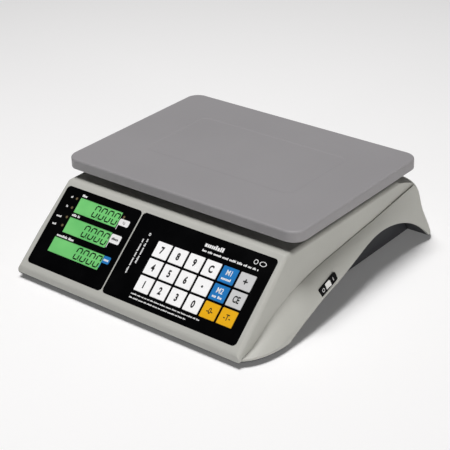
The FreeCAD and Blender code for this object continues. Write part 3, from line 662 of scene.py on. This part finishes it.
def panelBox(node):
    # lowest and highest corner of a node in the panel's own directions
    inward = panel.inverted()
    points = [inward @ vert.co for vert in nodes[node].data.vertices]
    low = Vector([min(point[axis] for point in points) for axis in range(3)])
    high = Vector([max(point[axis] for point in points) for axis in range(3)])
    return low, high


def onPanel(x, s, depth):
    return panel @ Matrix.Translation((x, s, depth))


digitLook = {
    "width": 6.2 * mm,
    "height": 13.2 * mm,
    "stroke": 1.6 * mm,
    "lean": 0.12,
    "thickness": 0.03 * mm,
    "pitch": 9.7 * mm,
    "rightMargin": 7.2 * mm,
    "digits": 4,
    "dot": 1.2 * mm,
}


def zeroReadout(form, place, look):
    # 0.000, with the place at the read-out's right edge and half its height
    for number in range(look["digits"]):
        x = -look["rightMargin"] - number * look["pitch"]
        segmentZero(form, place @ Matrix.Translation((x, 0.0, 0.0)), look)
    point = (-look["rightMargin"] - 2.5 * look["pitch"] - look["stroke"] / 2, -look["height"] / 2, 0.0)
    roundedPlate(form, place @ Matrix.Translation(point), (look["dot"], look["dot"]), look["thickness"],
                 look["dot"] / 4, 2)


def readoutDigits():
    for node in ("lcd_weight", "lcd_unit_price", "lcd_total"):
        low, high = panelBox(node)
        form = bmesh.new()
        zeroReadout(form, onPanel(high.x, (low.y + high.y) / 2, high.z), digitLook)
        makePiece(node + "_digits", form, segmentInk, "housing")


keyLook = {
    "digit": (8.0, 0.76, 0.045),
    "sign": (7.6, 1.0, 0.035),
    "pair": (7.4, 0.68, 0.035),
    "memory": (6.2, 0.80, 0.015),
    "dashed": (6.8, 0.76, 0.02),
    "print": 0.02 * mm,
    "dot": 2.6 * mm,
    # on the two memory keys the characters stand higher, over a line of small print
    "memoryRise": 2.6 * mm,
    "noteCorner": (-6.5 * mm, -4.6 * mm),
    "noteSize": (13.0 * mm, 3.0 * mm),
    # what is printed on each key: characters, style (height in mm, narrowing, weight), ink
    "legends": {
        "key_clear": ("C", "digit", "black"),
        "key_sum": ("+", "sign", "black"),
        "key_reset": ("CE", "pair", "black"),
        "key_recall": ("M1", "memory", "white"),
        "key_store": ("M2", "memory", "white"),
        "key_zero": ("-0-", "dashed", "black"),
        "key_tare": ("-T-", "dashed", "black"),
    },
}


def keyLegends():
    inks = {"black": (blackInk, "sheet_black"), "white": (whiteInk, "key_white")}
    for number in range(10):
        keyLook["legends"]["key_" + str(number)] = (str(number), "digit", "black")
    keyLook["legends"]["key_point"] = ("", "digit", "black")
    for node, (words, style, colour) in keyLook["legends"].items():
        height, narrow, weight = keyLook[style]
        low, high = panelBox(node)
        x = (low.x + high.x) / 2
        s = (low.y + high.y) / 2
        form = bmesh.new()
        if node == "key_point":
            dotSize = (keyLook["dot"], keyLook["dot"])
            roundedPlate(form, onPanel(x, s, high.z), dotSize, keyLook["print"], keyLook["dot"] * 0.45, 5)
        elif colour == "white":
            raised = onPanel(x, s + keyLook["memoryRise"], high.z)
            letterPlate(form, raised, words, height * mm, keyLook["print"], narrow, weight)
            aside, below = keyLook["noteCorner"]
            greekLine(form, onPanel(x + aside, s + below, high.z), *keyLook["noteSize"], node,
                      keyLook["print"])
        else:
            letterPlate(form, onPanel(x, s, high.z), words, height * mm, keyLook["print"], narrow, weight)
        finish, slot = inks[colour]
        makePiece(node + "_legend", form, finish, node)


# all in mm, from the panel's foot
printLook = {
    "thickness": 0.02,
    # tags beside the read-outs: middle x, middle s, width, height
    "whiteTags": [(-51.5, 79.0, 14.5, 7.6), (-51.5, 58.8, 14.5, 10.4)],
    "blueTag": (-48.6, 34.0, 10.0, 8.4),
    "tagCorner": 1.6,
    "unitHeight": 3.2,
    "unitNarrow": 0.9,
    # print on the second white tag and on the blue one: left of the middle, length, height, seed
    "priceNote": (5.0, 10.5, 3.0, 60),
    "totalNote": (3.8, 7.8, 3.0, 61),
    "lineSeed": 20,
    "uprightSeed": 40,
    # caption lines: left x, middle s, length, height
    "captions": [(-122.7, 92.6, 8.4, 3.0), (-123.0, 68.0, 12.0, 2.8), (-128.5, 41.0, 27.0, 2.8)],
    "lampNotes": [(-137.0, 87.0, 3.4, 2.4), (-137.0, 75.3, 3.4, 2.4), (-143.0, 61.6, 8.5, 2.4),
                  (-143.0, 51.6, 7.0, 2.4)],
    # thin lines from each tag down the read-out's right edge: middle x, middle s, width, height
    "tagLegs": [(-58.0, 73.6, 0.7, 8.0), (-58.0, 51.6, 0.7, 9.0)],
    "blueLeg": (-53.4, 27.6, 0.7, 8.0),
    "keypadLines": [(2.0, 11.4, 94.0, 1.6), (2.0, 7.0, 78.0, 1.6), (58.0, 81.2, 75.0, 2.5),
                    (58.0, 88.0, 26.0, 5.0)],
    # upright lines, read from below: x, lowest s, length, height
    "uprightLines": [(-17.6, 29.0, 43.0, 2.3), (-12.0, 42.4, 29.6, 2.3)],
    # round signs: middle x, middle s, radius, line width, stretch across
    "rings": [(124.5, 88.6, 2.7, 0.7, 1.0), (133.5, 88.6, 2.7, 0.6, 1.6), (-12.4, 77.2, 1.7, 0.8, 0.8)],
}


def panelPrint():
    thick = printLook["thickness"] * mm
    face = -panelLook["recess"]
    white = bmesh.new()
    for x, s, wide, tall in printLook["whiteTags"]:
        roundedPlate(white, onPanel(x * mm, s * mm, face), (wide * mm, tall * mm), thick,
                     printLook["tagCorner"] * mm)
    for x, s, wide, tall in printLook["tagLegs"]:
        roundedPlate(white, onPanel(x * mm, s * mm, face), (wide * mm, tall * mm), thick)
    for number, (x, s, length, tall) in enumerate(printLook["captions"] + printLook["lampNotes"]):
        greekLine(white, onPanel(x * mm, s * mm, face), length * mm, tall * mm, number, thick)
    makePiece("display_print", white, whiteInk, "housing")

    blue = bmesh.new()
    x, s, wide, tall = printLook["blueTag"]
    roundedPlate(blue, onPanel(x * mm, s * mm, face), (wide * mm, tall * mm), thick,
                 printLook["tagCorner"] * mm)
    x, s, wide, tall = printLook["blueLeg"]
    roundedPlate(blue, onPanel(x * mm, s * mm, face), (wide * mm, tall * mm), thick)
    makePiece("total_tag", blue, blueInk, "housing")

    lines = bmesh.new()
    for number, (x, s, length, tall) in enumerate(printLook["keypadLines"]):
        greekLine(lines, onPanel(x * mm, s * mm, face), length * mm, tall * mm,
                  printLook["lineSeed"] + number, thick)
    quarter = Matrix.Rotation(math.pi / 2, 4, "Z")
    for number, (x, s, length, tall) in enumerate(printLook["uprightLines"]):
        greekLine(lines, onPanel(x * mm, s * mm, face) @ quarter, length * mm, tall * mm,
                  printLook["uprightSeed"] + number, thick)
    for x, s, radius, line, stretch in printLook["rings"]:
        ringPlate(lines, onPanel(x * mm, s * mm, face), radius * mm, line * mm, thick, stretch)
    makePiece("keypad_print", lines, whiteInk, "housing")

    marks = bmesh.new()
    top = face + thick
    (x, s, _, _), (priceX, priceS, _, _) = printLook["whiteTags"]
    letterPlate(marks, onPanel(x * mm, s * mm, top), "kg", printLook["unitHeight"] * mm, thick,
                printLook["unitNarrow"])
    aside, length, tall, seed = printLook["priceNote"]
    greekLine(marks, onPanel((priceX - aside) * mm, priceS * mm, top), length * mm, tall * mm, seed, thick)
    makePiece("tag_marks", marks, blackInk, "housing")
    total = bmesh.new()
    x, s, _, _ = printLook["blueTag"]
    aside, length, tall, seed = printLook["totalNote"]
    greekLine(total, onPanel((x - aside) * mm, s * mm, top), length * mm, tall * mm, seed, thick)
    makePiece("total_tag_marks", total, whiteInk, "housing")


readoutDigits()
keyLegends()
panelPrint()
print("front panel printed")


# switch

switchLook = {
    "markHeight": 4.4 * mm,
    "markAside": 9.6 * mm,
    "markNarrow": 0.9,
    "markWeight": 0.01,
    "print": 0.03 * mm,
}


def switchPlace():
    # local X along the flare's edge, Z out of it
    tip = next(joint for joint in frame["joints"] if joint["name"] == "rocker_tip")
    hinge = Vector(tip["axis"])
    lowPoint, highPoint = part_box("switch_plate")
    centre = (lowPoint + highPoint) / 2
    out = Vector((hinge.z, 0.0, -hinge.x)).normalized()      # the flare faces sideways and up
    along = hinge.cross(out)
    turned = Matrix((along, out.cross(along), out)).transposed().to_4x4()
    return Matrix.Translation(centre) @ turned


def switchMarks():
    place = switchPlace()
    inward = place.inverted()
    top = max((inward @ vert.co).z for vert in nodes["switch_plate"].data.vertices)
    form = bmesh.new()
    for aside, words in ((-1, "O"), (1, "I")):
        centre = Matrix.Translation((aside * switchLook["markAside"], 0.0, top))
        letterPlate(form, place @ centre, words, switchLook["markHeight"], switchLook["print"],
                    switchLook["markNarrow"], switchLook["markWeight"])
    makePiece("switch_marks", form, whiteInk, "housing")


switchMarks()
print("switch marked")


# rear read-out

rearLook = {
    "lean": math.radians(9.0),
    "pitch": 50.0 * mm,
    "halfWidth": 22.0 * mm,
    "digits": {
        "width": 5.2 * mm,
        "height": 10.6 * mm,
        "stroke": 1.4 * mm,
        "lean": 0.12,
        "thickness": 0.03 * mm,
        "pitch": 8.2 * mm,
        "rightMargin": 6.2 * mm,
        "digits": 4,
        "dot": 1.1 * mm,
    },
}


def rearDigits():
    # read from behind: local X points to the customer's right
    lowPoint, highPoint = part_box("rear_lcds")
    out = Vector((0.0, math.cos(rearLook["lean"]), math.sin(rearLook["lean"])))
    across = Vector((-1.0, 0.0, 0.0))
    turned = Matrix((across, out.cross(across), out)).transposed().to_4x4()
    place = Matrix.Translation((lowPoint + highPoint) / 2) @ turned
    inward = place.inverted()
    face = max((inward @ vert.co).z for vert in nodes["rear_lcds"].data.vertices)
    form = bmesh.new()
    for number in (-1, 0, 1):
        edge = number * rearLook["pitch"] + rearLook["halfWidth"]
        zeroReadout(form, place @ Matrix.Translation((edge, 0.0, face)), rearLook["digits"])
    makePiece("rear_digits", form, segmentInk, "housing")


rearDigits()
print("rear read-out marked")


# spirit level: the ring on the glass and the bubble inside it

levelLook = {
    "ring": 3.4 * mm,
    "line": 0.35 * mm,
    "bubble": 5.0 * mm,
    "print": 0.04 * mm,
}


def levelMarks():
    lowPoint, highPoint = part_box("level_vial")
    top = Matrix.Translation(((lowPoint.x + highPoint.x) / 2, (lowPoint.y + highPoint.y) / 2, highPoint.z))
    ring = bmesh.new()
    ringPlate(ring, top, levelLook["ring"], levelLook["line"], levelLook["print"])
    makePiece("level_ring_mark", ring, blackInk, "housing")
    bubble = bmesh.new()
    size = levelLook["bubble"]
    roundedPlate(bubble, top, (size, size), levelLook["print"], size * 0.48, 8)
    makePiece("level_bubble", bubble, bubbleInk, "housing")


levelMarks()
print("level marked")


# platter: the soft slope round the shallow dish in its top

dishLook = {
    "middleY": 35.0 * mm,
    "size": (210.0 * mm, 110.0 * mm),
    "corner": 12.0 * mm,
    "depth": 0.34 * mm,
    "slope": 2.6 * mm,
    "lowEdge": 0.01 * mm,
}


def dishEdge():
    form = bmesh.new()
    bmesh.ops.create_grid(form, x_segments=1, y_segments=1, size=0.5)
    bmesh.ops.scale(form, vec=(*dishLook["size"], 1.0), verts=form.verts)
    bmesh.ops.bevel(form, geom=list(form.verts), offset=dishLook["corner"], segments=10, profile=0.5,
                    affect="VERTICES", material=-1)
    rim = {(round(vert.co.x, 6), round(vert.co.y, 6)) for vert in form.verts}
    middle = form.faces[:]
    bmesh.ops.inset_region(form, faces=middle, thickness=dishLook["slope"], use_even_offset=True,
                           use_boundary=True)
    bmesh.ops.delete(form, geom=middle, context="FACES_ONLY")
    raised = bmesh.ops.extrude_face_region(form, geom=list(form.faces))["geom"]
    for vert in raised:
        if isinstance(vert, bmesh.types.BMVert):
            outside = (round(vert.co.x, 6), round(vert.co.y, 6)) in rim
            vert.co.z = dishLook["depth"] if outside else dishLook["lowEdge"]
    bmesh.ops.recalc_face_normals(form, faces=form.faces)
    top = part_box("platter")[1].z
    bmesh.ops.translate(form, vec=(0.0, dishLook["middleY"], top - dishLook["depth"] - dishLook["lowEdge"]),
                        verts=form.verts)
    makePiece("platter_dish_edge", form, finishes["platter_grey"], "platter")


dishEdge()
print("platter dish edged")


# floor

floorLook = {"size": 8.0, "colour": (0.9, 0.9, 0.9, 1.0), "roughness": 0.9, "glow": 0.1}


def layFloor():
    form = bmesh.new()
    bmesh.ops.create_grid(form, x_segments=1, y_segments=1, size=floorLook["size"] / 2)
    mesh = bpy.data.meshes.new("studioFloor")
    form.to_mesh(mesh)
    form.free()
    finish = Finish("studioFloor")
    mesh.materials.append(finish.shade({
        "Base Color": floorLook["colour"],
        "Roughness": floorLook["roughness"],
        "Specular IOR Level": 0.1,
        "Emission Color": floorLook["colour"],
        "Emission Strength": floorLook["glow"],
    }))
    floor = bpy.data.objects.new("studioFloor", mesh)
    scene.collection.objects.link(floor)


layFloor()
print("floor laid")
